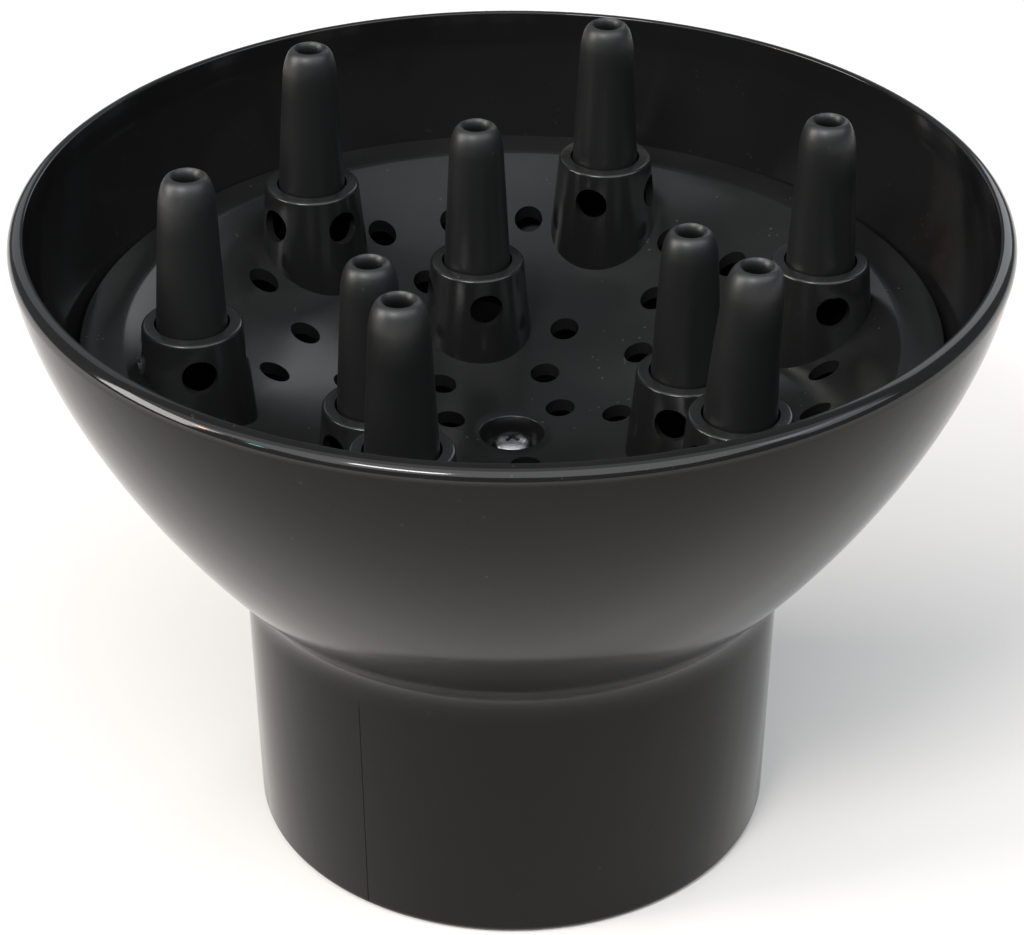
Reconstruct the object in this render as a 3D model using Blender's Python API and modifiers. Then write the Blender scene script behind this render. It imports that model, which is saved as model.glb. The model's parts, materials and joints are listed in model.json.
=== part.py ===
"""Hair dryer diffuser: a bowl on a collar, a dished air plate and nine soft prongs."""
import math

import bmesh
import bpy
from mathutils import Matrix, Vector

mm = 0.001

# Overall sizes
rim_radius = 65.0 * mm
collar_height = 34.5 * mm
collar_foot_radius = 35.9 * mm
collar_taper = 0.75 * mm

# Bowl outline: it leaves the neck and meets the rim at these slopes
neck_rise = 8.4 * mm
neck_flare = 3.35 * mm
neck_slope = math.radians(43.0)
rim_slope = math.radians(83.0)
rim_handle = 21.5 * mm
neck_handle = 3.5 * mm

# Walls, lip and edges
lower_wall = 2.6 * mm
upper_wall = 1.9 * mm
collar_wall = 2.3 * mm
lip_width = 2.4 * mm
lip_rise = 0.6 * mm
lip_round = 0.5 * mm
foot_round = 1.1 * mm
lead_in = 0.4 * mm

# Grip ribs and mould line on the collar
rib_count = 8
rib_width = 1.4 * mm
rib_height = 0.6 * mm
rib_margin = 5.0 * mm
mould_line_turn = math.radians(237.0)
mould_line_width = 0.35 * mm
mould_line_depth = 0.2 * mm
nick_size = 0.9 * mm

# Air plate
plate_drop = 16.65 * mm
plate_thickness = 2.0 * mm
dish_depth = 17.15 * mm
dish_wall = 1.8 * mm
flange_width = 5.45 * mm
fit_gap = 0.3 * mm

# Sleeves, counted round the plate from ring_turn
ring_turn = math.radians(11.7)
ring_spacing = 18.2 * mm
sleeve_margin = 1.7 * mm
sleeve_height = 10.4 * mm
sleeve_draft = math.radians(5.5)
sleeve_wall = 0.95 * mm
sleeve_roof = 1.4 * mm
vent_radius = 2.3 * mm
vent_drop = 4.5 * mm

# Air holes in the dish
air_hole_radius = 2.0 * mm
air_hole_web = 0.25 * mm
outer_hole_inset = 0.75 * mm
middle_hole_inset = 9.7 * mm
sleeve_hole_inset = 0.4 * mm
inner_hole_inset = 9.4 * mm
centre_hole_margin = 4.5 * mm

# Prongs
prong_length = 20.5 * mm
prong_foot_radius = 4.6 * mm
prong_tip_radius = 3.7 * mm
prong_wall = 1.3 * mm
prong_dome = 3.4 * mm
prong_hole_radius = 1.7 * mm
prong_flange_grip = 0.35 * mm
prong_flange_thickness = 1.2 * mm
prong_rock_gap = 0.6 * mm
prong_leans = {1: (0.3 * mm, 1.0 * mm), 9: (1.2 * mm, 0.3 * mm)}

# Screw and its seat
screw_head_radius = 2.8 * mm
screw_head_height = 2.0 * mm
screw_radius = 1.4 * mm
screw_length = 10.0 * mm
screw_pitch = 1.1 * mm
screw_thread = 0.25 * mm
cross_width = 0.75 * mm
cross_length = 3.2 * mm
cross_depth = 1.2 * mm
seat_radius = 4.3 * mm
seat_depth = 2.75 * mm
seat_floor = 1.8 * mm
seat_wall = 1.4 * mm

# Throat spider
spider_rise = 6.5 * mm
spider_skirt_drop = 0.6 * mm
spider_ring_height = 4.0 * mm
spider_ring_wall = 2.4 * mm
spider_arm_count = 3
spider_arm_width = 2.2 * mm
spider_arm_height = 7.0 * mm
post_radius = 4.2 * mm
post_floor = 3.15 * mm

ring_steps = 48
small_steps = 14
hole_steps = 8

outer_prongs = (5, 4, 2, 1, 7, 9)
inner_prongs = (3, 6, 8)

# Heights, stacked from the collar's foot up to the rim
collar_top_radius = collar_foot_radius + collar_taper
spider_seat = collar_height + spider_rise
spider_low = spider_seat + fit_gap - spider_skirt_drop
hole_floor = spider_low + post_floor
seat_height = hole_floor + screw_length + 2 * fit_gap
seat_bottom = seat_height - seat_floor
dish_centre = seat_height + seat_depth
dish_rim_height = dish_centre + dish_depth
plate_seat = dish_rim_height - plate_thickness - fit_gap
rim_height = dish_rim_height + plate_drop

# Radii of the fits
bore_radius = collar_top_radius - collar_wall
screw_hole = screw_radius + screw_thread + fit_gap
sleeve_bore = prong_foot_radius + fit_gap
sleeve_radius = sleeve_bore + prong_flange_grip + fit_gap + sleeve_wall
sleeve_foot = sleeve_radius + sleeve_height * math.tan(sleeve_draft)


def clear_scene():
    for item in list(bpy.data.objects):
        bpy.data.objects.remove(item, do_unlink=True)


def new_collection(name):
    group = bpy.data.collections.new(name)
    bpy.context.scene.collection.children.link(group)
    return group


def plastic(name, colour, roughness, metallic=0.0):
    material = bpy.data.materials.new(name)
    material.use_nodes = True
    shader = material.node_tree.nodes["Principled BSDF"]
    shader.inputs["Base Color"].default_value = (*colour, 1.0)
    shader.inputs["Roughness"].default_value = roughness
    shader.inputs["Metallic"].default_value = metallic
    material.diffuse_color = (*colour, 1.0)
    return material


# Outlines are lists of (radius, height) pairs

def bezier(start, first, second, end, count):
    points = []
    for step in range(count + 1):
        t = step / count
        weights = ((1 - t) ** 3, 3 * t * (1 - t) ** 2, 3 * t * t * (1 - t), t ** 3)
        corners = (start, first, second, end)
        points.append(tuple(sum(w * c[axis] for w, c in zip(weights, corners)) for axis in (0, 1)))
    return points


def rounded(before, corner, after, radius, count=2):
    """The corner as a quarter-round that starts and ends one radius away from it."""
    here = Vector(corner)
    start = here + (Vector(before) - here).normalized() * radius
    end = here + (Vector(after) - here).normalized() * radius
    first = start.lerp(here, 0.55)
    second = end.lerp(here, 0.55)
    return bezier(tuple(start), tuple(first), tuple(second), tuple(end), count)


def outer_curve():
    """The housing's outside from the top of the collar to the rim, bottom to top."""
    collar_top = (collar_top_radius, collar_height)
    neck = (collar_top_radius + neck_flare, collar_height + neck_rise)
    rim = (rim_radius, rim_height)
    up = (math.cos(neck_slope), math.sin(neck_slope))
    last = (math.cos(rim_slope), math.sin(rim_slope))
    fillet = bezier(
        collar_top,
        (collar_top[0], collar_top[1] + neck_handle),
        (neck[0] - neck_handle * up[0], neck[1] - neck_handle * up[1]),
        neck, 3)
    side = bezier(
        neck,
        (neck[0] + neck_handle * up[0], neck[1] + neck_handle * up[1]),
        (rim[0] - rim_handle * last[0], rim[1] - rim_handle * last[1]),
        rim, 8)
    return fillet + side[1:]


def offset_inwards(points, wall):
    moved = []
    for index, point in enumerate(points):
        before = Vector(points[max(index - 1, 0)])
        after = Vector(points[min(index + 1, len(points) - 1)])
        along = (after - before).normalized()
        moved.append((point[0] - along.y * wall, point[1] + along.x * wall))
    return moved


def radius_at(points, height):
    for low, high in zip(points, points[1:]):
        if low[1] <= height <= high[1]:
            share = (height - low[1]) / (high[1] - low[1])
            return low[0] + share * (high[0] - low[0])
    return points[-1][0] if height > points[-1][1] else points[0][0]


def stretch(points, low, high):
    """The part of a rising outline between two heights, with its ends on them."""
    between = [p for p in points if low < p[1] < high]
    return [(radius_at(points, low), low)] + between + [(radius_at(points, high), high)]


outside = outer_curve()
inside_low = offset_inwards(outside, lower_wall)
inside_high = offset_inwards(outside, upper_wall)

# Radii that follow from the bowl's inside
plate_radius = radius_at(inside_high, plate_seat + fit_gap) - fit_gap
dish_radius = plate_radius - flange_width
outer_ring = dish_radius - sleeve_foot - sleeve_margin
inner_ring = outer_ring - ring_spacing


def dish_height(radius):
    return dish_centre + dish_depth * (radius / dish_radius) ** 2


def sleeve_sites():
    """Prong number, angle and ring radius of each sleeve."""
    sites = []
    for place, number in enumerate(outer_prongs):
        sites.append((number, ring_turn + place * math.tau / len(outer_prongs), outer_ring))
    for place, number in enumerate(inner_prongs):
        turn = ring_turn + math.tau / 4 + place * math.tau / len(inner_prongs)
        sites.append((number, turn, inner_ring))
    return sites


def sleeve_top(ring):
    return dish_height(ring) + sleeve_height


# Objects

def add_object(name, mesh, group, material=None):
    item = bpy.data.objects.new(name, mesh)
    group.objects.link(item)
    if material:
        mesh.materials.append(material)
    return item


def turned_mesh(name, outline, steps, closed=True):
    """Turn an outline about Z; it runs down the outer side and, if closed, up the inner side."""
    mesh = bpy.data.meshes.new(name)
    edges = [(i, i + 1) for i in range(len(outline) - 1)]
    if closed:
        edges.append((len(outline) - 1, 0))
    mesh.from_pydata([(r, 0.0, z) for r, z in outline], edges, [])
    item = bpy.data.objects.new(name, mesh)
    bpy.context.scene.collection.objects.link(item)
    screw = item.modifiers.new("turn", "SCREW")
    screw.axis = "Z"
    screw.angle = math.tau
    screw.steps = steps
    screw.render_steps = steps
    screw.use_merge_vertices = True
    screw.merge_threshold = 0.00001
    return applied(item)


def applied(item):
    """The object's evaluated mesh, with the object removed."""
    bpy.context.view_layer.update()
    view = item.evaluated_get(bpy.context.evaluated_depsgraph_get())
    mesh = bpy.data.meshes.new_from_object(view)
    mesh.name = item.name
    old = item.data
    bpy.data.objects.remove(item, do_unlink=True)
    bpy.data.meshes.remove(old)
    return mesh


def smooth(item, angle=math.radians(35.0)):
    item.data.shade_smooth()
    item.data.set_sharp_from_angle(angle=angle)


def cut(item, operation, *tools):
    for tool in tools:
        step = item.modifiers.new(tool.name, "BOOLEAN")
        step.operation = operation
        step.object = tool


def finished(item, group, material):
    """Apply the modifiers and put the object back under its own name, shaded smooth."""
    name = item.name
    placed = item.matrix_world.copy()
    mesh = applied(item)
    mesh.materials.clear()
    done = add_object(name, mesh, group, material)
    done.matrix_world = placed
    smooth(done)
    return done


def as_tool(name, mesh, cutters):
    tool = add_object(name, mesh, cutters)
    tool.hide_render = True
    tool.display_type = "WIRE"
    return tool


def mesh_from(name, build):
    mesh = bpy.data.meshes.new(name)
    work = bmesh.new()
    build(work)
    bmesh.ops.recalc_face_normals(work, faces=work.faces)
    work.to_mesh(mesh)
    work.free()
    return mesh


def add_box(work, size, place):
    bmesh.ops.create_cube(work, size=1.0, matrix=place @ Matrix.Diagonal((*size, 1.0)))


def add_cone(work, low_radius, high_radius, low, high, place, steps):
    middle = Matrix.Translation((0, 0, (low + high) / 2))
    bmesh.ops.create_cone(
        work, cap_ends=True, segments=steps, radius1=low_radius, radius2=high_radius,
        depth=high - low, matrix=place @ middle)


def around(angle, radius, height=0.0):
    """A frame turned to an angle about Z, moved out to a radius and up to a height."""
    return Matrix.Rotation(angle, 4, "Z") @ Matrix.Translation((radius, 0, height))


def housing_outline():
    lip_outer = (rim_radius, rim_height)
    lip_inner = (rim_radius - lip_width, rim_height + lip_rise)
    lip_under = (radius_at(inside_high, rim_height - 3 * mm), rim_height - 3 * mm)
    foot = (collar_foot_radius, 0.0)
    bore_foot = collar_foot_radius - collar_wall
    outline = rounded(lip_under, lip_inner, lip_outer, lip_round)
    outline += rounded(lip_inner, lip_outer, outside[-2], lip_round)
    outline += outside[-2::-1]
    outline += rounded(outside[0], foot, (0.0, 0.0), foot_round)
    outline += [(bore_foot + lead_in, 0.0), (bore_foot, lead_in), (bore_radius, spider_seat)]
    outline += stretch(inside_low, spider_seat, plate_seat)
    outline += stretch(inside_high, plate_seat, lip_under[1])
    return outline


def make_housing(group, cutters, material):
    draft = math.atan2(collar_top_radius - collar_foot_radius, collar_height)

    def ribs(work):
        length = spider_seat - 2 * rib_margin
        middle = spider_seat / 2
        radius = bore_radius - rib_height / 2 + collar_wall / 4
        for number in range(rib_count):
            place = around(number * math.tau / rib_count, radius, middle)
            place @= Matrix.Rotation(draft, 4, "Y")
            add_box(work, (rib_height + collar_wall / 2, rib_width, length), place)

    def mould_line(work):
        radius = (collar_foot_radius + collar_top_radius) / 2
        place = around(mould_line_turn, radius, collar_height / 2) @ Matrix.Rotation(draft, 4, "Y")
        size = (2 * mould_line_depth, mould_line_width, collar_height - mould_line_width)
        add_box(work, size, place)
        corner = around(mould_line_turn, collar_foot_radius - foot_round / 2, 0.0)
        add_box(work, (foot_round, nick_size, nick_size), corner)

    item = add_object("bowl_housing", turned_mesh("housing_shape", housing_outline(), ring_steps), group)
    cut(item, "UNION", as_tool("grip_ribs", mesh_from("grip_ribs", ribs), cutters))
    cut(item, "DIFFERENCE", as_tool("mould_line", mesh_from("mould_line", mould_line), cutters))
    return finished(item, group, material)


def plate_outline():
    """The dish, its rim flange and the seat of the screw, as one solid of turning."""
    edge = 0.3 * mm
    count = 5
    boss = seat_radius + seat_wall
    top = [(radius, dish_height(radius)) for radius in
           (seat_radius + (dish_radius - seat_radius) * i / count for i in range(count, -1, -1))]
    under_edge = dish_radius + plate_thickness / 2
    under = [(radius, dish_height(radius) - dish_wall) for radius in
             (boss + (dish_radius - boss) * i / count for i in range(count))]
    flange_floor = dish_rim_height - plate_thickness
    outline = top + [(seat_radius, seat_height), (screw_hole, seat_height), (screw_hole, seat_bottom)]
    outline += [(boss, seat_bottom)] + under
    outline += [(under_edge, flange_floor), (plate_radius, flange_floor)]
    outline += [(plate_radius, dish_rim_height - edge), (plate_radius - edge, dish_rim_height)]
    outline.reverse()
    return outline


def air_hole_places():
    """Angle and radius of each air hole; none is drilled where a sleeve stands."""
    sixth = math.tau / 6
    wanted = [(k * sixth / 4, outer_ring - outer_hole_inset) for k in range(24)]
    wanted += [(k * sixth + side * sixth / 3, outer_ring - middle_hole_inset)
               for k in range(6) for side in (1, 2)]
    wanted += [(k * sixth / 2, inner_ring - sleeve_hole_inset) for k in range(12)]
    wanted += [(k * sixth, inner_ring - inner_hole_inset) for k in range(6)]
    wanted += [(sixth / 2 + k * 2 * sixth, seat_radius + centre_hole_margin) for k in range(3)]
    keep_off = sleeve_foot + air_hole_radius + air_hole_web
    sleeves = [around(turn, ring).translation for _, turn, ring in sleeve_sites()]
    return [(turn + ring_turn, radius) for turn, radius in wanted
            if all((around(turn + ring_turn, radius).translation - s).length > keep_off for s in sleeves)]


def under_dish_outline():
    """The space below the middle of the dish's wall, which trims the feet of the sleeves."""
    count = 5
    top = [(radius, dish_height(radius) - dish_wall / 2) for radius in
           (seat_radius + (dish_radius - seat_radius) * i / count for i in range(count + 1))]
    low = seat_height - 2 * sleeve_height
    return [(dish_radius, low), (seat_radius, low)] + top


def make_plate(group, cutters, material):
    depth = sleeve_height + dish_wall
    reach_down = 2 * sleeve_height
    spread = math.tan(sleeve_draft)

    def sleeves(work):
        for _, turn, ring in sleeve_sites():
            top = sleeve_top(ring)
            add_cone(work, sleeve_radius + reach_down * spread, sleeve_radius, top - reach_down, top,
                     around(turn, ring), small_steps)

    def hollows(work):
        for _, turn, ring in sleeve_sites():
            top = sleeve_top(ring) - sleeve_roof
            low = top - 2 * depth
            radius = sleeve_radius - sleeve_wall
            add_cone(work, radius + 2 * depth * spread, radius, low, top,
                     around(turn, ring), small_steps)

    def bores(work):
        for _, turn, ring in sleeve_sites():
            top = sleeve_top(ring)
            add_cone(work, sleeve_bore, sleeve_bore, top - 2 * sleeve_roof, top + sleeve_roof,
                     around(turn, ring), small_steps)

    def vents(work):
        reach = sleeve_radius + vent_drop * spread + fit_gap
        for _, turn, ring in sleeve_sites():
            middle = around(turn, ring, sleeve_top(ring) - vent_drop)
            for side in range(4):
                place = middle @ Matrix.Rotation(side * math.tau / 4, 4, "Z")
                place @= Matrix.Rotation(math.tau / 4, 4, "Y")
                add_cone(work, vent_radius, vent_radius, sleeve_radius / 2, reach, place, hole_steps)

    def air_holes(work):
        for turn, radius in air_hole_places():
            height = dish_height(radius)
            add_cone(work, air_hole_radius, air_hole_radius, height - 3 * dish_wall,
                     height + 2 * dish_wall, around(turn, radius), hole_steps)

    item = add_object("diffuser_plate", turned_mesh("plate_shape", plate_outline(), ring_steps), group)
    cut(item, "DIFFERENCE", as_tool("air_holes", mesh_from("air_holes", air_holes), cutters))
    feet = as_tool("sleeves", mesh_from("sleeves", sleeves), cutters)
    cut(feet, "DIFFERENCE",
        as_tool("under_dish", turned_mesh("under_dish", under_dish_outline(), ring_steps), cutters))
    cut(item, "UNION", feet)
    for name, build in (("sleeve_hollows", hollows), ("sleeve_bores", bores), ("vents", vents)):
        cut(item, "DIFFERENCE", as_tool(name, mesh_from(name, build), cutters))
    return finished(item, group, material)


def prong_outline():
    """A hollow prong about its own axis, with its rocking centre at height zero."""
    foot = sleeve_roof / 2
    tip = foot + prong_length
    shoulder = tip - prong_dome
    flange_top = -foot - prong_rock_gap
    flange_low = flange_top - prong_flange_thickness
    flange = sleeve_bore + prong_flange_grip
    dome = bezier(
        (prong_hole_radius + 0.4 * mm, tip),
        (prong_tip_radius * 0.83, tip - prong_dome * 0.05),
        (prong_tip_radius * 0.94, tip - prong_dome * 0.5),
        (prong_tip_radius, shoulder), 4)
    outline = [(prong_hole_radius, tip - 0.4 * mm)] + dome
    outline += [(prong_foot_radius, foot), (prong_foot_radius, flange_top), (flange, flange_top)]
    outline += [(flange, flange_low), (prong_foot_radius - prong_wall, flange_low)]
    outline += [(prong_foot_radius - prong_wall, foot), (prong_tip_radius - prong_wall, shoulder)]
    outline += [(prong_hole_radius, tip - 1.6 * mm)]
    return outline


def make_prongs(group, material):
    for number, turn, ring in sleeve_sites():
        mesh = turned_mesh(f"prong_{number}", prong_outline(), small_steps)
        lean = Vector((*prong_leans.get(number, (0.0, 0.0)), 0.0))
        for vertex in mesh.vertices:
            share = max(vertex.co.z - sleeve_roof / 2, 0.0) / prong_length
            vertex.co += lean * share ** 1.5
        prong = add_object(f"prong_{number}", mesh, group, material)
        prong.location = around(turn, ring, sleeve_top(ring) - sleeve_roof / 2).translation
        smooth(prong)


def make_screw(group, cutters, material):
    under_head = seat_height + fit_gap
    top = under_head + screw_head_height
    head = bezier(
        (0.0, top), (screw_head_radius * 0.7, top),
        (screw_head_radius, top - screw_head_height * 0.4),
        (screw_head_radius, under_head + 0.4 * mm), 3)
    outline = head + [(screw_head_radius, under_head), (screw_radius, under_head)]
    turns = int((screw_length - 2 * screw_pitch) / screw_pitch)
    for number in range(turns):
        level = under_head - screw_pitch * (number + 1)
        outline += [(screw_radius, level), (screw_radius + screw_thread, level - screw_pitch * 0.3)]
        outline += [(screw_radius, level - screw_pitch * 0.6)]
    outline += [(screw_radius * 0.6, under_head - screw_length + 0.8 * mm)]
    outline += [(0.0, under_head - screw_length)]

    def cross(turn):
        def build(work):
            place = Matrix.Translation((0, 0, top)) @ Matrix.Rotation(turn, 4, "Z")
            add_box(work, (cross_length, cross_width, 2 * cross_depth), place)
        return build

    mesh = turned_mesh("screw_shape", outline, small_steps, closed=False)
    item = add_object("plate_screw", mesh, group)
    for name, turn in (("cross_one", math.radians(50)), ("cross_two", math.radians(140))):
        cut(item, "DIFFERENCE", as_tool(name, mesh_from(name, cross(turn)), cutters))
    return finished(item, group, material)


def make_spider(group, cutters, material):
    flange = spider_seat + fit_gap
    high = flange + spider_ring_height
    outer = radius_at(inside_low, flange) - fit_gap
    inner = outer - spider_ring_wall
    skirt = bore_radius - fit_gap
    post_top = seat_bottom - fit_gap
    ring = [(outer, high), (outer, flange), (skirt, flange), (skirt, spider_low)]
    ring += [(inner, spider_low), (inner, high)]
    post = [(screw_hole, post_top), (post_radius, post_top), (post_radius, spider_low), (0.0, spider_low)]
    post += [(0.0, hole_floor), (screw_hole, hole_floor)]

    def arms(work):
        reach = (inner + skirt) / 2
        start = (post_radius + screw_hole) / 2
        for number in range(spider_arm_count):
            turn = ring_turn + number * math.tau / spider_arm_count
            place = around(turn, (start + reach) / 2, spider_low + spider_arm_height / 2)
            add_box(work, (reach - start, spider_arm_width, spider_arm_height), place)

    item = add_object("throat_spider", turned_mesh("spider_ring", ring, ring_steps), group)
    cut(item, "UNION", as_tool("spider_arms", mesh_from("spider_arms", arms), cutters))
    cut(item, "UNION", as_tool("spider_post", turned_mesh("spider_post", post, small_steps), cutters))
    return finished(item, group, material)


def main():
    clear_scene()
    group = new_collection("dryer_diffuser")
    cutters = new_collection("cutters")
    gloss = plastic("gloss_black", (0.012, 0.012, 0.013), 0.12)
    satin = plastic("plate_black", (0.016, 0.016, 0.017), 0.22)
    soft = plastic("soft_black", (0.022, 0.022, 0.023), 0.55)
    steel = plastic("screw_steel", (0.42, 0.42, 0.43), 0.28, 1.0)
    make_housing(group, cutters, gloss)
    make_plate(group, cutters, satin)
    make_spider(group, cutters, gloss)
    make_screw(group, cutters, steel)
    make_prongs(group, soft)


main()
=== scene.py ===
import json
import math

import bmesh
import bpy
from mathutils import Matrix, Vector
from mathutils.geometry import interpolate_bezier


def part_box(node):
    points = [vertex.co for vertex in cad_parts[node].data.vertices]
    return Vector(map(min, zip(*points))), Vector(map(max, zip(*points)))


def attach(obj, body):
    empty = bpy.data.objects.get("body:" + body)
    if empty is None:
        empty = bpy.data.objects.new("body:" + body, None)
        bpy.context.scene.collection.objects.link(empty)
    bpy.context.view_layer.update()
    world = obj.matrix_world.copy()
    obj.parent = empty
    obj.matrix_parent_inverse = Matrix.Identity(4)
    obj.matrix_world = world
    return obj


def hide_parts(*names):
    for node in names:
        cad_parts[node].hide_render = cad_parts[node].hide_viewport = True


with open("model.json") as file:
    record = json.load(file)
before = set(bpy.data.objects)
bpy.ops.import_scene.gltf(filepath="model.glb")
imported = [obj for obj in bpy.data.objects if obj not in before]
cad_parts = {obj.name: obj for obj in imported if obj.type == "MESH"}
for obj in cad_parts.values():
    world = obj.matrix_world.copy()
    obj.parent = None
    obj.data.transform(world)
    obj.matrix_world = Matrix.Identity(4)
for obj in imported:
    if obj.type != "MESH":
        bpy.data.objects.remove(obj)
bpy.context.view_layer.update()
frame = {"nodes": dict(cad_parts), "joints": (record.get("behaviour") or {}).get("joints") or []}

mm = 0.001

# the places that everything else is measured from
housingLow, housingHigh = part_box("bowl_housing")
plateLow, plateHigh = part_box("diffuser_plate")
spiderLow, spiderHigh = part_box("throat_spider")
screwLow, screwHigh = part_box("plate_screw")
rockers = {joint["child"]: Vector(joint["pos_m"]) for joint in frame["joints"]}
print("frame loaded:", len(frame["nodes"]), "nodes,", len(rockers), "rocking prongs")


def curvePoints(start, first, second, end, count):
    # points along a curve with two handles, each a radius and a height
    knots = [Vector((r, 0, z)) for r, z in (start, first, second, end)]
    return [(p.x, p.z) for p in interpolate_bezier(*knots, count)]


def spinOutline(work, outline, steps, closed=True):
    # the outline is a list of (radius, height); it is turned about the Z axis
    fresh = [work.verts.new((r, 0, z)) for r, z in outline]
    edges = [work.edges.new(pair) for pair in zip(fresh, fresh[1:])]
    if closed:
        edges.append(work.edges.new((fresh[-1], fresh[0])))
    bmesh.ops.spin(work, geom=fresh + edges, cent=(0, 0, 0), axis=(0, 0, 1),
                   angle=math.tau, steps=steps, use_merge=True)
    bmesh.ops.remove_doubles(work, verts=work.verts, dist=0.002 * mm)
    bmesh.ops.recalc_face_normals(work, faces=work.faces)


def roundRing(work, radius, height, offset, segments=4):
    # bevels the circle of edges at one radius and height
    near = 0.01 * mm

    def onRing(vert):
        return abs(vert.co.z - height) < near and abs(vert.co.xy.length - radius) < near

    ring = [edge for edge in work.edges if onRing(edge.verts[0]) and onRing(edge.verts[1])]
    bmesh.ops.bevel(work, geom=ring, offset=offset, offset_type="OFFSET", affect="EDGES",
                    segments=segments, profile=0.5, material=-1, clamp_overlap=True)


def addRod(work, lowRadius, highRadius, low, high, place, segments):
    bmesh.ops.create_cone(work, cap_ends=True, segments=segments, radius1=lowRadius, radius2=highRadius,
                          depth=high - low, matrix=place @ Matrix.Translation((0, 0, (low + high) / 2)))


def addBlock(work, size, place):
    made = bmesh.ops.create_cube(work, size=1.0, matrix=place @ Matrix.Diagonal((*size, 1)))
    return made["verts"]


def around(turn, radius, height=0.0):
    return Matrix.Rotation(turn, 4, "Z") @ Matrix.Translation((radius, 0, height))


def meshObject(name, build):
    work = bmesh.new()
    build(work)
    mesh = bpy.data.meshes.new(name)
    work.to_mesh(mesh)
    work.free()
    item = bpy.data.objects.new(name, mesh)
    bpy.context.scene.collection.objects.link(item)
    return item


def carve(item, operation, tool):
    # one Boolean with a throwaway tool, applied at once
    step = item.modifiers.new(tool.name, "BOOLEAN")
    step.operation = operation
    step.object = tool
    bpy.context.view_layer.update()
    made = bpy.data.meshes.new_from_object(item.evaluated_get(bpy.context.evaluated_depsgraph_get()))
    item.modifiers.clear()
    item.data = made
    bpy.data.objects.remove(tool, do_unlink=True)


def dress(item, material, smoothAngle):
    item.data.materials.clear()
    item.data.materials.append(material)
    item.data.shade_smooth()
    item.data.set_sharp_from_angle(angle=math.radians(smoothAngle))


def newGroup(name, inputs, outputs):
    group = bpy.data.node_groups.new(name, "ShaderNodeTree")
    for label, kind, value in inputs:
        socket = group.interface.new_socket(label, in_out="INPUT", socket_type=kind)
        socket.default_value = value
    for label, kind in outputs:
        group.interface.new_socket(label, in_out="OUTPUT", socket_type=kind)
    return group, group.nodes.new("NodeGroupInput"), group.nodes.new("NodeGroupOutput")


def addNode(tree, kind, **settings):
    node = tree.nodes.new(kind)
    for key, value in settings.items():
        if key in node.inputs:
            node.inputs[key].default_value = value
        else:
            setattr(node, key, value)
    return node


def mathNode(tree, operation, first, second=None, third=None, clamp=False):
    node = tree.nodes.new("ShaderNodeMath")
    node.operation = operation
    node.use_clamp = clamp
    for socket, value in zip(node.inputs, (first, second, third)):
        if value is None:
            continue
        if isinstance(value, (int, float)):
            socket.default_value = value
        else:
            tree.links.new(value, socket)
    return node.outputs[0]


skin = {"peelShare": 0.12, "patchSize": 38.0}
hairline = {
    "turns": ((0.5, 0.0), (-0.9, 3.7), (1.4, 8.1)),  # turn and seed of each direction
    "stretch": 0.025, "width": 0.035, "breakSize": 45.0, "breakLevel": 0.52,
}
dust = {"cloudSize": 120.0, "speckSize": 900.0, "speckWidth": 0.16, "pickSize": 260.0, "pickLevel": 0.62}


def makeMouldSkin():
    # slow waves and a fine peel, as a polished mould leaves them
    group, given, result = newGroup(
        "mouldSkin",
        [("Wave Size", "NodeSocketFloat", 90.0), ("Peel Size", "NodeSocketFloat", 900.0)],
        [("Height", "NodeSocketFloat"), ("Patch", "NodeSocketFloat")])
    place = addNode(group, "ShaderNodeTexCoord")
    wave = addNode(group, "ShaderNodeTexNoise", Detail=2.0)
    peel = addNode(group, "ShaderNodeTexNoise", Detail=3.0)
    patch = addNode(group, "ShaderNodeTexNoise", Scale=skin["patchSize"], Detail=4.0)
    group.links.new(given.outputs["Wave Size"], wave.inputs["Scale"])
    group.links.new(given.outputs["Peel Size"], peel.inputs["Scale"])
    for noise in (wave, peel, patch):
        group.links.new(place.outputs["Object"], noise.inputs["Vector"])
    both = mathNode(group, "MULTIPLY_ADD", peel.outputs["Fac"], skin["peelShare"], wave.outputs["Fac"])
    group.links.new(both, result.inputs["Height"])
    group.links.new(patch.outputs["Fac"], result.inputs["Patch"])
    return group


def makeHairlines():
    # short thin scuffs in three directions: cells drawn out into needles, some of them left out
    group, given, result = newGroup(
        "hairlines",
        [("Spacing", "NodeSocketFloat", 60.0), ("Amount", "NodeSocketFloat", 0.5)],
        [("Mask", "NodeSocketFloat")])
    place = addNode(group, "ShaderNodeTexCoord")
    masks = []
    for turn, seed in hairline["turns"]:
        mapping = addNode(group, "ShaderNodeMapping", Rotation=(0.3 * seed, turn, turn * 0.7),
                          Location=(seed, seed, 0.0), Scale=(1.0, hairline["stretch"], 1.0))
        lines = addNode(group, "ShaderNodeTexVoronoi", feature="F1", Randomness=1.0)
        breaks = addNode(group, "ShaderNodeTexNoise", Scale=hairline["breakSize"] + seed, Detail=2.0)
        group.links.new(place.outputs["Object"], mapping.inputs["Vector"])
        group.links.new(mapping.outputs["Vector"], lines.inputs["Vector"])
        group.links.new(given.outputs["Spacing"], lines.inputs["Scale"])
        group.links.new(place.outputs["Object"], breaks.inputs["Vector"])
        thin = mathNode(group, "LESS_THAN", lines.outputs["Distance"], hairline["width"])
        part = mathNode(group, "GREATER_THAN", breaks.outputs["Fac"], hairline["breakLevel"])
        masks.append(mathNode(group, "MULTIPLY", thin, part))
    joined = mathNode(group, "MAXIMUM", mathNode(group, "MAXIMUM", masks[0], masks[1]), masks[2])
    group.links.new(mathNode(group, "MULTIPLY", joined, given.outputs["Amount"]), result.inputs["Mask"])
    return group


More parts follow.
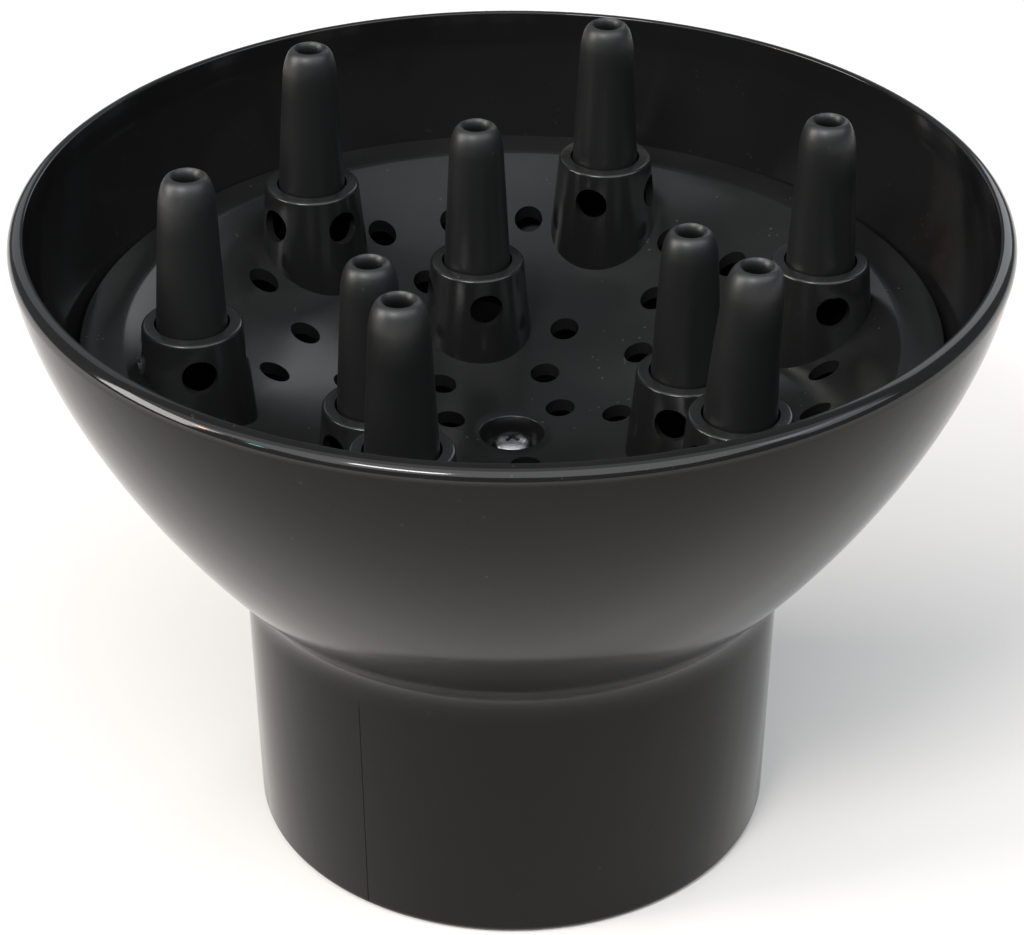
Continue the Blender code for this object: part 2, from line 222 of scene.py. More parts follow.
def makeDustFall():
    # specks and a thin film that settle on faces that look up
    group, given, result = newGroup(
        "dustFall",
        [("Film", "NodeSocketFloat", 0.2), ("Specks", "NodeSocketFloat", 0.5)],
        [("Mask", "NodeSocketFloat")])
    place = addNode(group, "ShaderNodeTexCoord")
    shape = addNode(group, "ShaderNodeNewGeometry")
    split = addNode(group, "ShaderNodeSeparateXYZ")
    group.links.new(shape.outputs["Normal"], split.inputs["Vector"])
    upward = mathNode(group, "MAXIMUM", split.outputs["Z"], 0.0)
    cloud = addNode(group, "ShaderNodeTexNoise", Scale=dust["cloudSize"], Detail=5.0)
    speck = addNode(group, "ShaderNodeTexVoronoi", Scale=dust["speckSize"], Randomness=1.0)
    pick = addNode(group, "ShaderNodeTexNoise", Scale=dust["pickSize"], Detail=2.0)
    for node in (cloud, speck, pick):
        group.links.new(place.outputs["Object"], node.inputs["Vector"])
    film = mathNode(group, "MULTIPLY", mathNode(group, "POWER", cloud.outputs["Fac"], 2.0),
                    given.outputs["Film"])
    dots = mathNode(group, "LESS_THAN", speck.outputs["Distance"], dust["speckWidth"])
    some = mathNode(group, "GREATER_THAN", pick.outputs["Fac"], dust["pickLevel"])
    specks = mathNode(group, "MULTIPLY", mathNode(group, "MULTIPLY", dots, some), given.outputs["Specks"])
    total = mathNode(group, "ADD", film, specks)
    group.links.new(mathNode(group, "MULTIPLY", total, upward, clamp=True), result.inputs["Mask"])
    return group


mouldSkin = makeMouldSkin()
hairlines = makeHairlines()
dustFall = makeDustFall()


def placeGroup(tree, group, **values):
    node = tree.nodes.new("ShaderNodeGroup")
    node.node_tree = group
    for label, value in values.items():
        node.inputs[label.replace("_", " ")].default_value = value
    return node


def mixColours(tree, mask, first, second):
    mix = tree.nodes.new("ShaderNodeMix")
    mix.data_type = "RGBA"
    tree.links.new(mask, mix.inputs["Factor"])
    for socket, value in ((mix.inputs["A"], first), (mix.inputs["B"], second)):
        if isinstance(value, tuple):
            socket.default_value = (*value, 1.0)
        else:
            tree.links.new(value, socket)
    return mix.outputs["Result"]


def polishRim(tree, shader, look):
    # hands polish the lip, so it mirrors more than the wall below it
    place = addNode(tree, "ShaderNodeTexCoord")
    split = addNode(tree, "ShaderNodeSeparateXYZ")
    rise = tree.nodes.new("ShaderNodeMapRange")
    rise.interpolation_type = "SMOOTHSTEP"
    for label, value in (("From Min", look["polishLow"]), ("From Max", look["polishHigh"]),
                         ("To Min", 0.0), ("To Max", look["rimPolish"])):
        rise.inputs[label].default_value = value
    tree.links.new(place.outputs["Object"], split.inputs["Vector"])
    tree.links.new(split.outputs["Z"], rise.inputs["Value"])
    tree.links.new(rise.outputs["Result"], shader.inputs["Coat Weight"])
    shader.inputs["Coat Roughness"].default_value = look["polishRough"]


def blackPlastic(name, look):
    # polished or satin black moulding with peel, scuffs and dust
    material = bpy.data.materials.new(name)
    material.use_nodes = True
    tree = material.node_tree
    shader = tree.nodes["Principled BSDF"]
    shader.inputs["IOR"].default_value = look["ior"]
    shader.inputs["Specular IOR Level"].default_value = look["sheen"]
    shader.inputs["Specular Tint"].default_value = (*look["sheenTint"], 1.0)
    moulded = placeGroup(tree, mouldSkin, Wave_Size=look["waveSize"], Peel_Size=look["peelSize"])
    lines = placeGroup(tree, hairlines, Spacing=look["scuffSpacing"], Amount=look["scuffs"])
    settled = placeGroup(tree, dustFall, Film=look["film"], Specks=look["specks"])
    if "rimPolish" in look:
        polishRim(tree, shader, look)
    tone = mixColours(tree, moulded.outputs["Patch"], look["dark"], look["light"])
    scuffed = mixColours(tree, lines.outputs["Mask"], tone, look["scuffColour"])
    dusty = mixColours(tree, settled.outputs["Mask"], scuffed, look["dustColour"])
    tree.links.new(dusty, shader.inputs["Base Color"])
    rough = mathNode(tree, "MULTIPLY_ADD", moulded.outputs["Patch"], look["roughSpread"], look["rough"])
    rough = mathNode(tree, "MULTIPLY_ADD", lines.outputs["Mask"], look["scuffRough"], rough)
    rough = mathNode(tree, "MULTIPLY_ADD", settled.outputs["Mask"], look["dustRough"], rough, clamp=True)
    tree.links.new(rough, shader.inputs["Roughness"])
    bump = addNode(tree, "ShaderNodeBump", Strength=look["bump"], Distance=look["bumpDepth"] * mm)
    height = mathNode(tree, "MULTIPLY_ADD", lines.outputs["Mask"], -look["scuffDepth"],
                      moulded.outputs["Height"])
    tree.links.new(height, bump.inputs["Height"])
    tree.links.new(bump.outputs["Normal"], shader.inputs["Normal"])
    return material


bowlLook = {
    "dark": (0.0064, 0.0062, 0.0062), "light": (0.0094, 0.0090, 0.0090), "ior": 1.5,
    "sheen": 0.125, "sheenTint": (1.0, 0.95, 0.92), "rimPolish": 0.65, "polishRough": 0.07,
    "polishLow": housingHigh.z - 2.2 * mm, "polishHigh": housingHigh.z - 1.2 * mm,
    "rough": 0.07, "roughSpread": 0.06, "waveSize": 70.0, "peelSize": 800.0,
    "bump": 0.08, "bumpDepth": 0.25, "scuffSpacing": 150.0, "scuffs": 0.30,
    "scuffColour": (0.05, 0.048, 0.046), "film": 0.03, "specks": 0.12,
    "dustColour": (0.18, 0.17, 0.16), "scuffRough": 0.35, "dustRough": 0.5, "scuffDepth": 0.6,
}
plateLook = {
    "dark": (0.0075, 0.0075, 0.0075), "light": (0.012, 0.012, 0.0118), "ior": 1.5,
    "sheen": 0.45, "sheenTint": (1.0, 1.0, 1.0),
    "rough": 0.16, "roughSpread": 0.10, "waveSize": 110.0, "peelSize": 1100.0,
    "bump": 0.15, "bumpDepth": 0.25, "scuffSpacing": 200.0, "scuffs": 0.25,
    "scuffColour": (0.06, 0.06, 0.06), "film": 0.04, "specks": 0.16,
    "dustColour": (0.20, 0.19, 0.18), "scuffRough": 0.35, "dustRough": 0.5, "scuffDepth": 0.6,
}
prongLook = {
    "dark": (0.0050, 0.0051, 0.0051), "light": (0.0090, 0.0090, 0.0089), "ior": 1.5,
    "sheen": 0.6, "sheenTint": (1.0, 1.0, 1.0),
    "rough": 0.34, "roughSpread": 0.16, "waveSize": 300.0, "peelSize": 2600.0,
    "bump": 0.30, "bumpDepth": 0.12, "scuffSpacing": 300.0, "scuffs": 0.12,
    "scuffColour": (0.05, 0.05, 0.05), "film": 0.10, "specks": 0.25,
    "dustColour": (0.24, 0.235, 0.23), "scuffRough": 0.35, "dustRough": 0.5, "scuffDepth": 0.6,
}
bowlGloss = blackPlastic("bowlGloss", bowlLook)
plateGloss = blackPlastic("plateGloss", plateLook)
prongRubber = blackPlastic("prongRubber", prongLook)


steelLook = {
    "ringSize": 900.0, "ringWander": 1.5, "grimeSize": 700.0,
    "grime": (0.16, 0.155, 0.15), "clean": (0.52, 0.52, 0.53),
    "rough": 0.16, "roughSpread": 0.25, "bump": 0.15, "bumpDepth": 0.05,
}


def makeScrewSteel():
    # plated steel with turning rings and grime in patches of noise
    material = bpy.data.materials.new("screwSteel")
    material.use_nodes = True
    tree = material.node_tree
    shader = tree.nodes["Principled BSDF"]
    shader.inputs["Metallic"].default_value = 1.0
    place = addNode(tree, "ShaderNodeTexCoord")
    rings = addNode(tree, "ShaderNodeTexWave", wave_type="RINGS", rings_direction="Z",
                    Scale=steelLook["ringSize"], Distortion=steelLook["ringWander"])
    grime = addNode(tree, "ShaderNodeTexNoise", Scale=steelLook["grimeSize"], Detail=5.0)
    for node in (rings, grime):
        tree.links.new(place.outputs["Object"], node.inputs["Vector"])
    colour = mixColours(tree, grime.outputs["Fac"], steelLook["grime"], steelLook["clean"])
    rough = mathNode(tree, "MULTIPLY_ADD", grime.outputs["Fac"], steelLook["roughSpread"], steelLook["rough"])
    tree.links.new(colour, shader.inputs["Base Color"])
    tree.links.new(rough, shader.inputs["Roughness"])
    bump = addNode(tree, "ShaderNodeBump", Strength=steelLook["bump"], Distance=steelLook["bumpDepth"] * mm)
    tree.links.new(rings.outputs["Fac"], bump.inputs["Height"])
    tree.links.new(bump.outputs["Normal"], shader.inputs["Normal"])
    return material


screwSteel = makeScrewSteel()
print("materials made")


bowl = {
    "lipWidth": 2.4 * mm, "lipRise": 0.6 * mm, "lipRound": 1.5 * mm, "innerRound": 0.45 * mm,
    "upperWall": 1.9 * mm, "lowerWall": 2.6 * mm, "collarWall": 2.3 * mm,
    "collarHeight": 34.5 * mm, "collarFoot": 35.9 * mm, "collarTop": 36.65 * mm,
    "neckRise": 8.4 * mm, "neckFlare": 3.35 * mm, "neckSlope": math.radians(43),
    "neckHandle": 3.5 * mm, "rimSlope": math.radians(83), "rimHandle": 21.5 * mm,
    "footRound": 1.1 * mm, "footLeadIn": 0.4 * mm,
    "spiderSeat": 41.0 * mm, "plateSeat": 72.05 * mm,
    "ribs": 8, "ribWidth": 1.4 * mm, "ribHeight": 0.6 * mm, "ribMargin": 5.0 * mm,
    "ribBury": 0.6 * mm, "ribRound": 0.2 * mm, "underLip": 3.0 * mm,
    "lineTurn": math.radians(237), "lineWidth": 0.16 * mm, "lineDepth": 0.07 * mm,
    "nick": 0.9 * mm, "steps": 180, "curveSteps": 42,
}
rimRadius = 65.0 * mm
rimHeight = housingHigh.z - bowl["lipRise"]


def bowlOutside(count):
    # the outer side from the collar's top, through the neck, up to the rim
    top = (bowl["collarTop"], bowl["collarHeight"])
    neck = (top[0] + bowl["neckFlare"], top[1] + bowl["neckRise"])
    rim = (rimRadius, rimHeight)
    handle = bowl["neckHandle"]
    lean = (math.cos(bowl["neckSlope"]) * handle, math.sin(bowl["neckSlope"]) * handle)
    last = (math.cos(bowl["rimSlope"]) * bowl["rimHandle"], math.sin(bowl["rimSlope"]) * bowl["rimHandle"])
    fillet = curvePoints(top, (top[0], top[1] + handle), (neck[0] - lean[0], neck[1] - lean[1]),
                         neck, count // 3)
    side = curvePoints(neck, (neck[0] + lean[0], neck[1] + lean[1]),
                       (rim[0] - last[0], rim[1] - last[1]), rim, count)
    return fillet + side[1:]


def insideOf(points, wall):
    # the outline moved inwards by a wall's thickness
    moved = []
    for number, point in enumerate(points):
        before = Vector(points[max(number - 1, 0)])
        after = Vector(points[min(number + 1, len(points) - 1)])
        along = (after - before).normalized()
        moved.append((point[0] - along.y * wall, point[1] + along.x * wall))
    return moved


def radiusAt(points, height):
    for low, high in zip(points, points[1:]):
        if low[1] <= height <= high[1]:
            return low[0] + (high[0] - low[0]) * (height - low[1]) / (high[1] - low[1])
    return points[-1][0]


def between(points, low, high):
    # the stretch of an outline between two heights, with its ends on them
    near = 0.1 * mm
    middle = [point for point in points if low + near < point[1] < high - near]
    return [(radiusAt(points, low), low)] + middle + [(radiusAt(points, high), high)]


outside = bowlOutside(bowl["curveSteps"])
insideLow = insideOf(outside, bowl["lowerWall"])
insideHigh = insideOf(outside, bowl["upperWall"])
lipInner = (rimRadius - bowl["lipWidth"], rimHeight + bowl["lipRise"])
underLip = rimHeight - bowl["underLip"]
boreTop = bowl["collarTop"] - bowl["collarWall"]
boreFoot = bowl["collarFoot"] - bowl["collarWall"]


def buildHousing(work):
    outline = [lipInner] + outside[::-1] + [(bowl["collarFoot"], 0.0)]
    outline += [(boreFoot + bowl["footLeadIn"], 0.0), (boreFoot, bowl["footLeadIn"])]
    outline += [(boreTop, bowl["spiderSeat"])]
    outline += between(insideLow, bowl["spiderSeat"], bowl["plateSeat"])
    outline += between(insideHigh, bowl["plateSeat"], underLip)
    spinOutline(work, outline, bowl["steps"])
    roundRing(work, *lipInner, bowl["innerRound"])
    roundRing(work, rimRadius, rimHeight, bowl["lipRound"], 8)
    roundRing(work, bowl["collarFoot"], 0.0, bowl["footRound"])


def buildRibs(work):
    lean = math.atan2(bowl["collarTop"] - bowl["collarFoot"], bowl["collarHeight"])
    length = bowl["spiderSeat"] - 2 * bowl["ribMargin"]
    for number in range(bowl["ribs"]):
        place = around(number * math.tau / bowl["ribs"], boreTop - bowl["ribHeight"] / 2 + bowl["ribBury"],
                       bowl["spiderSeat"] / 2) @ Matrix.Rotation(lean, 4, "Y")
        addBlock(work, (bowl["ribHeight"] + 2 * bowl["ribBury"], bowl["ribWidth"], length), place)
    bmesh.ops.bevel(work, geom=work.edges[:], offset=bowl["ribRound"], affect="EDGES", segments=2,
                    profile=0.5, material=-1)


def buildMouldLine(work):
    lean = math.atan2(bowl["collarTop"] - bowl["collarFoot"], bowl["collarHeight"])
    radius = (bowl["collarFoot"] + bowl["collarTop"]) / 2
    place = around(bowl["lineTurn"], radius, bowl["collarHeight"] / 2) @ Matrix.Rotation(lean, 4, "Y")
    addBlock(work, (2 * bowl["lineDepth"], bowl["lineWidth"], bowl["collarHeight"]), place)
    foot = around(bowl["lineTurn"], bowl["collarFoot"] - bowl["nick"] / 2)
    addBlock(work, (1.6 * bowl["nick"], bowl["nick"], bowl["nick"]), foot)


housing = meshObject("bowlHousing", buildHousing)
carve(housing, "UNION", meshObject("gripRibs", buildRibs))
carve(housing, "DIFFERENCE", meshObject("mouldLine", buildMouldLine))
dress(housing, bowlGloss, 40)
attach(housing, "body")
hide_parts("bowl_housing")
print("bowl and collar made")


plate = {
    "rimHeight": 74.35 * mm, "rimThickness": 2.0 * mm, "dishRadius": 51.31 * mm,
    "dishDepth": 17.15 * mm, "dishWall": 1.8 * mm, "edgeRound": 0.5 * mm,
    "sleeveRadius": 6.5 * mm, "sleeveHeight": 10.4 * mm, "sleeveDraft": math.radians(5.5),
    "sleeveWall": 0.95 * mm, "sleeveRoof": 1.4 * mm, "sleeveBore": 4.9 * mm, "sleeveRound": 0.45 * mm,
    "ventRadius": 2.3 * mm, "ventDrop": 4.5 * mm, "ventPast": 0.3 * mm, "airHole": 2.0 * mm,
    "holeWeb": 0.25 * mm, "seatRadius": 4.3 * mm, "seatDepth": 2.75 * mm, "seatWall": 1.4 * mm,
    "screwHole": 1.95 * mm, "rimRound": 0.3 * mm, "seatRound": 0.25 * mm,
    # how far each ring of air holes lies inside a ring of sleeves, and the last outside the screw's seat
    "outerInset": 0.75 * mm, "middleInset": 9.7 * mm, "sleeveInset": 0.4 * mm, "innerInset": 9.4 * mm,
    "centreMargin": 4.5 * mm, "steps": 180, "curveSteps": 26,
}
dishCentre = plate["rimHeight"] - plate["dishDepth"]
sleeveRise = plate["sleeveRoof"] / 2


def dishAt(radius):
    return dishCentre + plate["dishDepth"] * (radius / plate["dishRadius"]) ** 2


def sleeveSites():
    # the top centre of each sleeve and its turn about the bowl's axis
    for rocker in rockers.values():
        yield rocker + Vector((0, 0, sleeveRise)), math.atan2(rocker.y, rocker.x)


ringRadii = sorted({round(rocker.xy.length, 5) for rocker in rockers.values()})
innerRing, outerRing = ringRadii
outerRockers = [rocker for rocker in rockers.values() if rocker.xy.length > (innerRing + outerRing) / 2]
ringTurn = min(math.atan2(rocker.y, rocker.x) % math.tau for rocker in outerRockers)


def buildPlate(work):
    boss = plate["seatRadius"] + plate["seatWall"]
    count = plate["curveSteps"]
    radii = [plate["seatRadius"] + (plate["dishRadius"] - plate["seatRadius"]) * n / count
             for n in range(count + 1)]
    underRadii = [boss + (plate["dishRadius"] - boss) * n / count for n in range(count)]
    floor = plate["rimHeight"] - plate["rimThickness"]
    outline = [(plateHigh.x, plate["rimHeight"]), (plateHigh.x, floor)]
    outline += [(plate["dishRadius"] + plate["rimThickness"] / 2, floor)]
    outline += [(r, dishAt(r) - plate["dishWall"]) for r in reversed(underRadii)]
    outline += [(boss, plateLow.z), (plate["screwHole"], plateLow.z)]
    outline += [(plate["screwHole"], dishCentre - plate["seatDepth"])]
    outline += [(plate["seatRadius"], dishCentre - plate["seatDepth"])]
    outline += [(r, dishAt(r)) for r in radii]
    spinOutline(work, outline, plate["steps"])
    roundRing(work, plate["dishRadius"], plate["rimHeight"], plate["edgeRound"], 3)
    roundRing(work, plateHigh.x, plate["rimHeight"], plate["rimRound"], 3)
    roundRing(work, plate["seatRadius"], dishAt(plate["seatRadius"]), plate["seatRound"], 3)


def holePlaces():
    # turn and radius of each air hole, left out where a sleeve stands
    sixth = math.tau / 6
    rings = [(k * sixth / 4, outerRing - plate["outerInset"]) for k in range(24)]
    rings += [(k * sixth + side * sixth / 3, outerRing - plate["middleInset"])
              for k in range(6) for side in (1, 2)]
    rings += [(k * sixth / 2, innerRing - plate["sleeveInset"]) for k in range(12)]
    rings += [(k * sixth, innerRing - plate["innerInset"]) for k in range(6)]
    rings += [((2 * k + 0.5) * sixth, plate["seatRadius"] + plate["centreMargin"]) for k in range(3)]
    foot = plate["sleeveRadius"] + plate["sleeveHeight"] * math.tan(plate["sleeveDraft"])
    keepOff = foot + plate["airHole"] + plate["holeWeb"]
    sleeves = [rocker.xy for rocker in rockers.values()]
    for turn, radius in rings:
        spot = around(turn + ringTurn, radius).translation.xy
        if all((spot - sleeve).length > keepOff for sleeve in sleeves):
            yield turn + ringTurn, radius


def buildAirHoles(work):
    for turn, radius in holePlaces():
        height = dishAt(radius)
        addRod(work, plate["airHole"], plate["airHole"], height - 3 * plate["dishWall"],
               height + 2 * plate["dishWall"], around(turn, radius), 36)


def buildSleeves(work):
    spread = math.tan(plate["sleeveDraft"])
    depth = 2 * plate["sleeveHeight"]
    for top, turn in sleeveSites():
        addRod(work, plate["sleeveRadius"] + depth * spread, plate["sleeveRadius"],
               top.z - depth, top.z, Matrix.Translation((top.x, top.y, 0)), 64)
    tops = {round(top.z, 5) for top, turn in sleeveSites()}
    rims = [edge for edge in work.edges
            if all(round(vert.co.z, 5) in tops for vert in edge.verts) and len(edge.link_faces) == 2]
    bmesh.ops.bevel(work, geom=rims, offset=plate["sleeveRound"], affect="EDGES", segments=4,
                    profile=0.5, material=-1)


def buildUnderDish(work):
    # the space below the middle of the dish's wall, which trims the feet of the sleeves
    inner, outer, count = plate["seatRadius"], plate["dishRadius"], plate["curveSteps"]
    radii = [inner + (outer - inner) * n / count for n in range(count + 1)]
    floor = dishCentre - 2 * plate["sleeveHeight"]
    top = [(r, dishAt(r) - plate["dishWall"] / 2) for r in radii]
    spinOutline(work, [(outer, floor), (inner, floor)] + top, plate["steps"])


def buildHollows(work):
    spread = math.tan(plate["sleeveDraft"])
    radius = plate["sleeveRadius"] - plate["sleeveWall"]
    depth = 2 * plate["sleeveHeight"]
    for top, turn in sleeveSites():
        roof = top.z - plate["sleeveRoof"]
        addRod(work, radius + depth * spread, radius, roof - depth, roof,
               Matrix.Translation((top.x, top.y, 0)), 48)


def buildBores(work):
    for top, turn in sleeveSites():
        addRod(work, plate["sleeveBore"], plate["sleeveBore"], top.z - 2 * plate["sleeveRoof"],
               top.z + plate["sleeveRoof"], Matrix.Translation((top.x, top.y, 0)), 64)


def buildVents(work):
    spread = math.tan(plate["sleeveDraft"])
    reach = plate["sleeveRadius"] + plate["ventDrop"] * spread + plate["ventPast"]
    for top, turn in sleeveSites():
        for side in range(4):
            place = Matrix.Translation((top.x, top.y, top.z - plate["ventDrop"]))
            place @= Matrix.Rotation(turn + side * math.tau / 4, 4, "Z")
            place @= Matrix.Rotation(math.tau / 4, 4, "Y")
            addRod(work, plate["ventRadius"], plate["ventRadius"], plate["sleeveRadius"] / 2, reach,
                   place, 32)


airPlate = meshObject("airPlate", buildPlate)
carve(airPlate, "DIFFERENCE", meshObject("airHoles", buildAirHoles))
sleeves = meshObject("sleeves", buildSleeves)
carve(sleeves, "DIFFERENCE", meshObject("underDish", buildUnderDish))
carve(airPlate, "UNION", sleeves)
carve(airPlate, "DIFFERENCE", meshObject("sleeveHollows", buildHollows))
carve(airPlate, "DIFFERENCE", meshObject("sleeveBores", buildBores))
carve(airPlate, "DIFFERENCE", meshObject("vents", buildVents))
dress(airPlate, plateGloss, 30)
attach(airPlate, "body")
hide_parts("diffuser_plate")
print("air plate made")


prong = {
    "length": 20.5 * mm, "footRadius": 4.6 * mm, "tipRadius": 3.7 * mm, "wall": 1.3 * mm,
    "dome": 3.4 * mm, "hole": 1.7 * mm, "flangeGrip": 0.35 * mm, "flangeThickness": 1.2 * mm,
    "rockGap": 0.6 * mm, "holeRound": 0.4 * mm, "tipWall": 1.6 * mm, "steps": 72, "sideSteps": 8,
    # how far the tips of some prongs stand off their own axes, in mm
    "leans": {1: (0.3, 1.0), 2: (0.4, -0.2), 4: (0.0, -0.6), 9: (1.2, -0.2)},
}


def buildProng(work, centre, lean):
    foot = sleeveRise
    tip = foot + prong["length"]
    shoulder = tip - prong["dome"]
    tipRadius, footRadius, wall = prong["tipRadius"], prong["footRadius"], prong["wall"]
    flangeTop = -foot - prong["rockGap"]
    flangeLow = flangeTop - prong["flangeThickness"]
    flange = plate["sleeveBore"] + prong["flangeGrip"]
    dome = curvePoints((prong["hole"] + prong["holeRound"], tip),
                       (tipRadius * 0.83, tip - prong["dome"] * 0.05),
                       (tipRadius * 0.94, tip - prong["dome"] * 0.5), (tipRadius, shoulder), 14)
    outline = [(prong["hole"], tip - prong["holeRound"])] + dome
    for number in range(1, prong["sideSteps"] + 1):
        share = number / prong["sideSteps"]
        outline += [(tipRadius + (footRadius - tipRadius) * share, shoulder + (foot - shoulder) * share)]
    outline += [(footRadius, flangeTop), (flange, flangeTop), (flange, flangeLow)]
    outline += [(footRadius - wall, flangeLow), (footRadius - wall, foot)]
    outline += [(tipRadius - wall, shoulder), (prong["hole"], tip - prong["tipWall"])]
    spinOutline(work, outline, prong["steps"])
    for vert in work.verts:
        share = max(vert.co.z - foot, 0.0) / prong["length"]
        vert.co += lean * share ** 1.5
    bmesh.ops.translate(work, verts=work.verts, vec=centre)


for child, centre in rockers.items():
    number = int(child.split("_")[-1])
    lean = Vector((*prong["leans"].get(number, (0.0, 0.0)), 0.0)) * mm
    piece = meshObject(f"softProng{number}", lambda work: buildProng(work, centre, lean))
    dress(piece, prongRubber, 50)
    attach(piece, child)
    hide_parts(f"prong_{number}")
print("prongs made")


screw = {
    "headRadius": 2.8 * mm, "headHeight": 2.0 * mm, "headEdge": 0.4 * mm, "shank": 1.4 * mm,
    "pitch": 1.1 * mm, "point": 0.8 * mm,
    "thread": 0.25 * mm, "crossWidth": 0.75 * mm, "crossLength": 3.2 * mm, "crossDepth": 1.2 * mm,
    "crossTurn": math.radians(50), "steps": 64,
}


def buildScrew(work):
    top = screwHigh.z
    seat = top - screw["headHeight"]
    head = curvePoints((0.0, top), (screw["headRadius"] * 0.7, top),
                       (screw["headRadius"], top - screw["headHeight"] * 0.4),
                       (screw["headRadius"], seat + screw["headEdge"]), 14)
    outline = head + [(screw["headRadius"], seat), (screw["shank"], seat)]
    turns = int((seat - screwLow.z - 2 * screw["pitch"]) / screw["pitch"])
    for number in range(1, turns + 1):
        level = seat - number * screw["pitch"]
        outline += [(screw["shank"], level)]
        outline += [(screw["shank"] + screw["thread"], level - 0.3 * screw["pitch"])]
        outline += [(screw["shank"], level - 0.6 * screw["pitch"])]
    outline += [(screw["shank"] * 0.6, screwLow.z + screw["point"]), (0.0, screwLow.z)]
    spinOutline(work, outline, screw["steps"], closed=False)


def buildSlot(work, turn):
    # one bar of the cross, drawn in towards its floor
    place = Matrix.Translation((0, 0, screwHigh.z)) @ Matrix.Rotation(turn, 4, "Z")
    corners = addBlock(work, (screw["crossLength"], screw["crossWidth"], 2 * screw["crossDepth"]), place)
    low = [vert for vert in corners if vert.co.z < screwHigh.z]
    bmesh.ops.scale(work, vec=(0.5, 0.5, 1.0), verts=low)


plateScrew = meshObject("plateScrew", buildScrew)
for extra in (0, math.tau / 4):
    slotBar = meshObject("crossSlot", lambda work: buildSlot(work, screw["crossTurn"] + extra))
    carve(plateScrew, "DIFFERENCE", slotBar)
dress(plateScrew, screwSteel, 35)
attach(plateScrew, "body")
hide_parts("plate_screw")
print("screw made")


spider = {
    "ringHeight": 4.0 * mm, "ringWall": 2.4 * mm, "ringRound": 0.2 * mm, "skirtDrop": 0.6 * mm,
    "skirtGap": 0.3 * mm, "arms": 3, "armWidth": 2.2 * mm, "armHeight": 7.0 * mm, "armRound": 0.35 * mm,
    "postRadius": 4.2 * mm, "holeDepth": 11.0 * mm, "steps": 120,
}


def buildSpiderRing(work):
    low, outer = spiderLow.z, spiderHigh.x
    flange = low + spider["skirtDrop"]
    high = flange + spider["ringHeight"]
    inner = outer - spider["ringWall"]
    skirt = boreTop - spider["skirtGap"]
    outline = [(outer, high), (outer, flange), (skirt, flange), (skirt, low), (inner, low), (inner, high)]
    spinOutline(work, outline, spider["steps"])
    corners = [edge for edge in work.edges if edge.calc_face_angle(0) > 1.0]
    bmesh.ops.bevel(work, geom=corners, offset=spider["ringRound"], affect="EDGES", segments=3,
                    profile=0.5, material=-1)


def buildSpiderArms(work):
    reach = boreTop - spider["skirtGap"] - spider["ringWall"] / 4
    start = spider["postRadius"] * 0.7
    for number in range(spider["arms"]):
        turn = ringTurn + number * math.tau / spider["arms"]
        place = around(turn, (start + reach) / 2, spiderLow.z + spider["armHeight"] / 2)
        addBlock(work, (reach - start, spider["armWidth"], spider["armHeight"]), place)
    long = [edge for edge in work.edges if edge.calc_length() > (reach - start) / 2]
    bmesh.ops.bevel(work, geom=long, offset=spider["armRound"], affect="EDGES", segments=3,
                    profile=0.5, material=-1)


def buildSpiderPost(work):
    low, high = spiderLow.z, spiderHigh.z
    floor = high - spider["holeDepth"]
    hole = plate["screwHole"]
    outline = [(hole, high), (spider["postRadius"], high), (spider["postRadius"], low), (0.0, low)]
    spinOutline(work, outline + [(0.0, floor), (hole, floor)], 64)


throatSpider = meshObject("throatSpider", buildSpiderRing)
carve(throatSpider, "UNION", meshObject("spiderArms", buildSpiderArms))
carve(throatSpider, "UNION", meshObject("spiderPost", buildSpiderPost))
dress(throatSpider, bowlGloss, 35)
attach(throatSpider, "body")
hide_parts("throat_spider")
print("throat spider made")


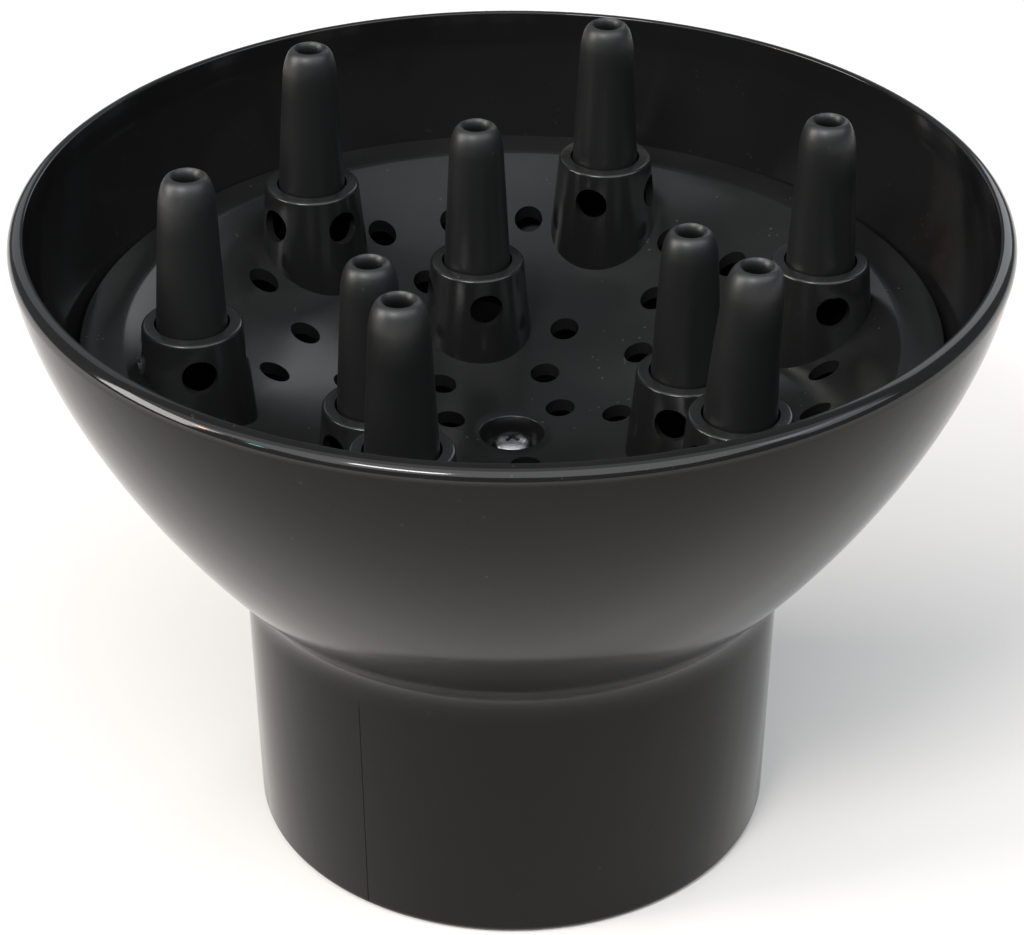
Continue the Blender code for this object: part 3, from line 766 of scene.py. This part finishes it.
studio = {
    "floorSize": 8.0, "floorColour": (0.95, 0.905, 0.87), "floorRough": 0.75,
    "worldColour": (0.86, 0.93, 1.0), "worldStrength": 0.17,
    "ceiling": {"place": (0.0, 0.05, 2.0), "aim": (0, 0.05, 0), "size": (5.0, 0.9), "power": 10.5,
                "colour": (0.95, 0.975, 1.0)},
    "frontCeiling": {"place": (0.0, -1.7, 2.0), "aim": (0, -1.7, 0), "size": (5.0, 2.6), "power": 90,
                     "colour": (0.95, 0.975, 1.0)},
    "key": {"place": (-0.565, -1.064, 1.338), "aim": (0, 0, 0.07), "size": (0.52, 0.2), "power": 10.5,
            "colour": (1.0, 0.985, 0.96)},
    "backRight": {"place": (0.98, 1.75, 1.15), "aim": (0, 0, 0.07), "size": (0.75, 1.4), "power": 4.6,
                  "colour": (0.93, 0.97, 1.0)},
    "backLeft": {"place": (-0.98, 1.75, 1.15), "aim": (0, 0, 0.07), "size": (0.75, 1.4), "power": 1.7,
                 "colour": (0.93, 0.97, 1.0)},
    "leftWall": {"place": (-1.6, -0.2, 0.75), "aim": (0, 0, 0.0), "size": (0.8, 0.8), "power": 19,
                 "colour": (1.0, 0.97, 0.94)},
    "rightWall": {"place": (1.5, -0.3, 1.2), "aim": (0, 0, 0.07), "size": (0.8, 0.8), "power": 4,
                  "colour": (0.72, 0.86, 1.0)},
    "orangeLamp": {"place": (-1.45, -0.5, 0.9), "aim": (0, 0, 0.09), "size": (0.06, 0.06), "power": 0.9,
                   "colour": (1.0, 0.45, 0.2)},
    "tealLamp": {"place": (-1.3, -0.85, 0.9), "aim": (0, 0, 0.09), "size": (0.10, 0.06), "power": 0.7,
                 "colour": (0.35, 0.9, 0.85)},
}
# distances as shares of the rim's radius
camera = {"away": 5.4133, "up": 4.1643, "pitch": math.radians(31.891), "lens": 107.14}


def makeFloor():
    work = bmesh.new()
    bmesh.ops.create_grid(work, x_segments=1, y_segments=1, size=studio["floorSize"] / 2)
    mesh = bpy.data.meshes.new("floor")
    work.to_mesh(mesh)
    work.free()
    floor = bpy.data.objects.new("floor", mesh)
    bpy.context.scene.collection.objects.link(floor)
    material = bpy.data.materials.new("floorPaper")
    material.use_nodes = True
    tree = material.node_tree
    shader = tree.nodes["Principled BSDF"]
    shader.inputs["Roughness"].default_value = studio["floorRough"]
    shader.inputs["Base Color"].default_value = (*studio["floorColour"], 1.0)
    mesh.materials.append(material)


def makeLight(name, kit):
    lamp = bpy.data.lights.new(name, "AREA")
    lamp.shape = "RECTANGLE"
    lamp.size, lamp.size_y = kit["size"]
    lamp.energy = kit["power"]
    lamp.color = kit["colour"]
    item = bpy.data.objects.new(name, lamp)
    bpy.context.scene.collection.objects.link(item)
    item.location = kit["place"]
    item.rotation_euler = (Vector(kit["aim"]) - item.location).to_track_quat("-Z", "Y").to_euler()


def makeWorld():
    world = bpy.data.worlds.new("studioRoom")
    world.use_nodes = True
    back = world.node_tree.nodes["Background"]
    back.inputs["Color"].default_value = (*studio["worldColour"], 1.0)
    back.inputs["Strength"].default_value = studio["worldStrength"]
    bpy.context.scene.world = world


def makeCamera():
    data = bpy.data.cameras.new("camera")
    data.lens = camera["lens"]
    data.clip_start = 0.01
    item = bpy.data.objects.new("camera", data)
    bpy.context.scene.collection.objects.link(item)
    item.location = (0.0, -camera["away"] * rimRadius, camera["up"] * rimRadius)
    item.rotation_euler = (math.tau / 4 - camera["pitch"], 0, 0)
    bpy.context.scene.camera = item


makeFloor()
for lightName, kit in studio.items():
    if isinstance(kit, dict):
        makeLight(lightName, kit)
makeWorld()
makeCamera()
bpy.context.scene.view_settings.view_transform = "Standard"
print("studio made")
